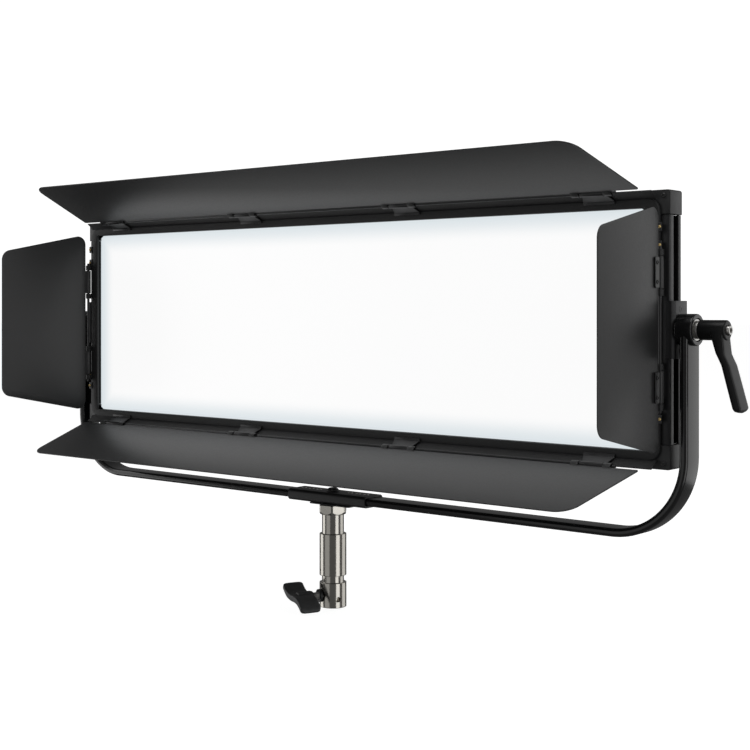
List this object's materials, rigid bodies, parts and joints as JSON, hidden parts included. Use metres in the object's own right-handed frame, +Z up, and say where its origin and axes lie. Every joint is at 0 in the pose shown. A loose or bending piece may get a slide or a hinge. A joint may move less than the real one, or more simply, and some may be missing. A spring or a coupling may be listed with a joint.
{
  "type": "led panel light",
  "caption": "Soft LED panel light with folding barn-door leaves, on a U-shaped tilting yoke with a lock lever and a socketed stand pin with a wing screw.",
  "frame": {"origin": "centre of the socket's mouth at the foot of the stand pin, where the light sits on a stand", "axes": "+Z up along the stand pin, the light shines towards -Y, +X to the right as seen from in front"},
  "size_m": [0.886, 0.209, 0.4573],
  "materials": {
    "black_sheet": "matte black powder coat on sheet metal",
    "black_anodised": "black anodised extrusion, satin",
    "black_paint": "satin to gloss black paint on steel",
    "grey_steel": "plain grey steel",
    "nickel": "nickel plated turned steel",
    "black_plastic": "moulded black plastic, fine texture",
    "opal": "opal acrylic diffuser, lit from behind",
    "white_sheet": "white reflector sheet",
    "circuit_board": "white solder-masked circuit board",
    "dark_glass": "dark display window",
    "brass": "turned brass"
  },
  "bodies": {
    "yoke": {"yoke": "black_paint", "yoke_sleeve": "black_paint", "yoke_pad": "black_plastic", "yoke_bolt": "black_paint", "stand_pin": "nickel"},
    "head": {"rail_top": "black_anodised", "rail_bottom": "black_anodised", "rail_left": "black_anodised", "rail_right": "black_anodised", "corner_block_top_left": "black_plastic", "corner_block_top_right": "black_plastic", "corner_block_bottom_left": "black_plastic", "corner_block_bottom_right": "black_plastic", "pivot_bracket_right": "black_anodised", "pivot_bracket_left": "black_anodised", "pivot_stud": "grey_steel", "pivot_bolt_left": "black_paint", "diffuser": "opal", "reflector_walls": "white_sheet", "led_board": "circuit_board", "rear_shell": "black_sheet", "heat_sink": "black_anodised", "control_box": "black_sheet", "control_panel": "black_anodised", "display_window": "dark_glass", "driver_board": "circuit_board", "switch_bezel": "black_plastic", "power_inlet": "black_plastic", "data_socket": "black_plastic", "barndoor_frame": "black_sheet", "hinge_bracket_top_1": "grey_steel", "hinge_bracket_top_2": "grey_steel", "hinge_bracket_top_3": "grey_steel", "hinge_bracket_top_4": "grey_steel", "hinge_bracket_bottom_1": "grey_steel", "hinge_bracket_bottom_2": "grey_steel", "hinge_bracket_bottom_3": "grey_steel", "hinge_bracket_bottom_4": "grey_steel", "hinge_rod_top": "grey_steel", "hinge_rod_bottom": "grey_steel", "hinge_rod_left": "grey_steel", "hinge_rod_right": "grey_steel"},
    "leaf_top": {"leaf_top": "black_sheet"},
    "leaf_bottom": {"leaf_bottom": "black_sheet"},
    "leaf_left": {"leaf_left": "black_sheet", "leaf_plate_left_1": "black_anodised", "leaf_plate_left_2": "black_anodised"},
    "leaf_right": {"leaf_right": "black_sheet", "leaf_plate_right_1": "black_anodised", "leaf_plate_right_2": "black_anodised"},
    "lever_washer": {"lever_washer": "nickel"},
    "lever_insert": {"lever_insert": "nickel"},
    "tilt_lever": {"tilt_lever": "black_plastic"},
    "clamp_pad": {"clamp_pad": "brass"},
    "wing_screw": {"wing_screw": "black_plastic"},
    "dimmer_knob": {"dimmer_knob": "black_plastic"},
    "color_knob": {"color_knob": "black_plastic"},
    "menu_button": {"menu_button": "black_plastic"},
    "mode_button": {"mode_button": "black_plastic"},
    "power_rocker": {"power_rocker": "black_plastic"}
  },
  "joints": [
    {"name": "head_tilt", "type": "hinge", "parent": "yoke", "child": "head", "pos_m": [0, 0.0025, 0.298], "axis": [-1, 0, 0], "range_deg": [-28, 150]},
    {"name": "top_leaf_hinge", "type": "hinge", "parent": "head", "child": "leaf_top", "pos_m": [0, -0.025, 0.419], "axis": [-1, 0, 0], "range_deg": [-112, 58]},
    {"name": "bottom_leaf_hinge", "type": "hinge", "parent": "head", "child": "leaf_bottom", "pos_m": [0, -0.025, 0.177], "axis": [1, 0, 0], "range_deg": [-107, 58]},
    {"name": "left_leaf_hinge", "type": "hinge", "parent": "head", "child": "leaf_left", "pos_m": [-0.3915, -0.0142, 0.298], "axis": [0, 0, -1], "range_deg": [-100, 50]},
    {"name": "right_leaf_hinge", "type": "hinge", "parent": "head", "child": "leaf_right", "pos_m": [0.3915, -0.0142, 0.298], "axis": [0, 0, 1], "range_deg": [-92, 58]},
    {"name": "lever_feed", "type": "slide", "parent": "yoke", "child": "lever_washer", "axis": [1, 0, 0], "range_m": [0, 0.00126]},
    {"name": "lever_turn", "type": "hinge", "parent": "lever_washer", "child": "lever_insert", "pos_m": [0.434, 0.0025, 0.298], "axis": [1, 0, 0], "range_deg": [0, 360]},
    {"name": "lever_pull", "type": "slide", "parent": "lever_insert", "child": "tilt_lever", "axis": [1, 0, 0], "range_m": [0, 0.004], "stiffness_N_per_m": 1200, "springref_m": -0.003},
    {"name": "clamp_feed", "type": "slide", "parent": "yoke", "child": "clamp_pad", "axis": [-0.3907, -0.9205, 0], "range_m": [-0.00251, 0.00251]},
    {"name": "wing_turn", "type": "hinge", "parent": "clamp_pad", "child": "wing_screw", "pos_m": [0, 0, 0.0124], "axis": [-0.3907, -0.9205, 0], "range_deg": [-720, 720]},
    {"name": "dimmer_turn", "type": "hinge", "parent": "head", "child": "dimmer_knob", "pos_m": [-0.078, 0.07, 0.346], "axis": [0, 1, 0], "continuous": true},
    {"name": "color_turn", "type": "hinge", "parent": "head", "child": "color_knob", "pos_m": [0.078, 0.07, 0.346], "axis": [0, 1, 0], "continuous": true},
    {"name": "menu_press", "type": "slide", "parent": "head", "child": "menu_button", "axis": [0, -1, 0], "range_m": [0, 0.0015], "stiffness_N_per_m": 500, "springref_m": -0.001},
    {"name": "mode_press", "type": "slide", "parent": "head", "child": "mode_button", "axis": [0, -1, 0], "range_m": [0, 0.0015], "stiffness_N_per_m": 500, "springref_m": -0.001},
    {"name": "power_switch", "type": "hinge", "parent": "head", "child": "power_rocker", "pos_m": [-0.078, 0.0651, 0.246], "axis": [1, 0, 0], "range_deg": [0, 16]}
  ],
  "couplings": [
    {"joint": "lever_feed", "follows": "lever_turn", "m_per_rad": 0.00019894},
    {"joint": "clamp_feed", "follows": "wing_turn", "m_per_rad": 0.00019894}
  ]
}
